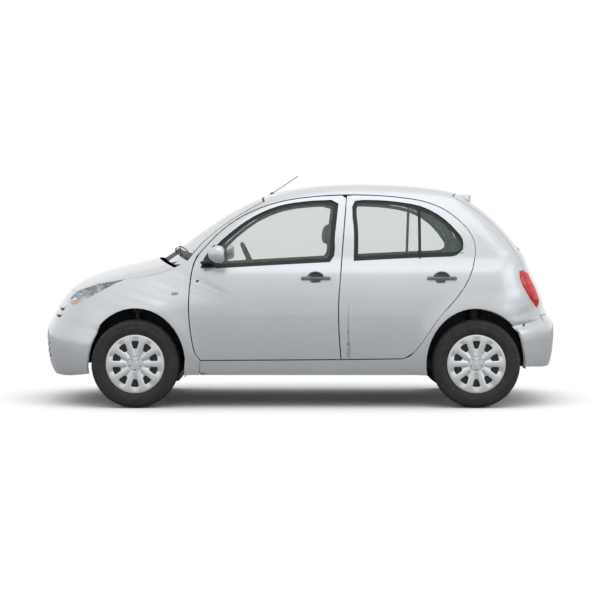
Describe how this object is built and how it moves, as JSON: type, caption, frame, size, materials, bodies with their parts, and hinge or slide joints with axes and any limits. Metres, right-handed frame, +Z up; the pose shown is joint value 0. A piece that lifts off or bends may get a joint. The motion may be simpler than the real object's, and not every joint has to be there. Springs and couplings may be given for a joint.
{
  "type": "hatchback car",
  "caption": "Five-door small hatchback with opening doors, bonnet and tailgate, rolling wheels and front steering.",
  "frame": {"origin": "On the ground, under the middle of the car's bounding box", "axes": "-X towards the nose, -Y towards the car's left side, +Z up"},
  "size_m": [3.7093, 1.867, 1.6434],
  "materials": {
    "paint": "clearcoat metallic silver",
    "glass": "clear, pale green",
    "tyre": "matte",
    "wheel": "satin silver",
    "underbody": "dark primer",
    "cast_iron": "raw",
    "steel": "dull",
    "black_plastic": "grained",
    "fabric": "woven",
    "clear_lamp": "clear lens",
    "red_lamp": "clear lens"
  },
  "bodies": {
    "door_fl": {"front_door_left": "paint", "front_door_glass_left": "glass", "mirror_left": "paint"},
    "door_fr": {"front_door_right": "paint", "front_door_glass_right": "glass", "mirror_right": "paint"},
    "door_rl": {"rear_door_left": "paint", "rear_door_glass_left": "glass"},
    "door_rr": {"rear_door_right": "paint", "rear_door_glass_right": "glass"},
    "bonnet_lid": {"bonnet": "paint"},
    "tailgate_lid": {"tailgate": "paint", "rear_window": "glass"},
    "steer_left": {"knuckle_left": "cast_iron"},
    "steer_right": {"knuckle_right": "cast_iron"},
    "road_wheel_front_left": {"tyre_front_left": "tyre", "wheel_front_left": "wheel"},
    "road_wheel_front_right": {"tyre_front_right": "tyre", "wheel_front_right": "wheel"},
    "road_wheel_rear_left": {"tyre_rear_left": "tyre", "wheel_rear_left": "wheel"},
    "road_wheel_rear_right": {"tyre_rear_right": "tyre", "wheel_rear_right": "wheel"},
    "steering": {"steering_wheel": "black_plastic"},
    "shell": {"floor_pan": "underbody", "side_frames": "paint", "roof": "paint", "cowl_panel": "black_plastic", "front_wings": "paint", "front_bumper": "paint", "grille": "black_plastic", "rear_bumper": "paint", "headlamps": "clear_lamp", "tail_lamps": "red_lamp", "windscreen": "glass", "front_suspension": "steel", "rear_axle": "steel", "engine": "cast_iron", "exhaust": "steel", "fuel_tank": "black_plastic", "dashboard": "black_plastic", "front_seats": "fabric", "rear_seat": "fabric", "wipers": "black_plastic", "aerial": "black_plastic"}
  },
  "joints": [
    {"name": "front_left_door_hinge", "type": "hinge", "parent": "shell", "child": "door_fl", "pos_m": [-0.716, -0.81083, 0.66], "axis": [0, 0, -1], "range_deg": [0, 65]},
    {"name": "front_right_door_hinge", "type": "hinge", "parent": "shell", "child": "door_fr", "pos_m": [-0.716, 0.81083, 0.66], "axis": [0, 0, 1], "range_deg": [0, 65]},
    {"name": "rear_left_door_hinge", "type": "hinge", "parent": "shell", "child": "door_rl", "pos_m": [0.302, -0.81749, 0.66], "axis": [0, 0, -1], "range_deg": [0, 65]},
    {"name": "rear_right_door_hinge", "type": "hinge", "parent": "shell", "child": "door_rr", "pos_m": [0.302, 0.81749, 0.66], "axis": [0, 0, 1], "range_deg": [0, 65]},
    {"name": "bonnet_hinge", "type": "hinge", "parent": "shell", "child": "bonnet_lid", "pos_m": [-0.95754, 0, 0.97328], "axis": [0, 1, 0], "range_deg": [0, 48]},
    {"name": "tailgate_hinge", "type": "hinge", "parent": "shell", "child": "tailgate_lid", "pos_m": [1.16229, 0, 1.48175], "axis": [0, -1, 0], "range_deg": [0, 78]},
    {"name": "steer", "type": "hinge", "parent": "shell", "child": "steer_left", "pos_m": [-1.146, -0.67, 0.307], "axis": [0, 0, 1], "range_deg": [-35, 35]},
    {"name": "steer_other", "type": "hinge", "parent": "shell", "child": "steer_right", "pos_m": [-1.146, 0.67, 0.307], "axis": [0, 0, 1], "range_deg": [-35, 35]},
    {"name": "steering_column", "type": "hinge", "parent": "shell", "child": "steering", "pos_m": [-0.345, -0.36, 0.985], "axis": [0.9063, 0, 0.4226], "range_deg": [-560, 560]},
    {"name": "front_left_wheel_spin", "type": "hinge", "parent": "steer_left", "child": "road_wheel_front_left", "pos_m": [-1.146, -0.73, 0.307], "axis": [0, -1, 0], "continuous": true},
    {"name": "front_right_wheel_spin", "type": "hinge", "parent": "steer_right", "child": "road_wheel_front_right", "pos_m": [-1.146, 0.73, 0.307], "axis": [0, -1, 0], "continuous": true},
    {"name": "rear_left_wheel_spin", "type": "hinge", "parent": "shell", "child": "road_wheel_rear_left", "pos_m": [1.226, -0.73, 0.307], "axis": [0, -1, 0], "continuous": true},
    {"name": "rear_right_wheel_spin", "type": "hinge", "parent": "shell", "child": "road_wheel_rear_right", "pos_m": [1.226, 0.73, 0.307], "axis": [0, -1, 0], "continuous": true}
  ],
  "couplings": [
    {"joint": "steer_other", "follows": "steer", "ratio": 1},
    {"joint": "steering_column", "follows": "steer", "ratio": 16}
  ]
}
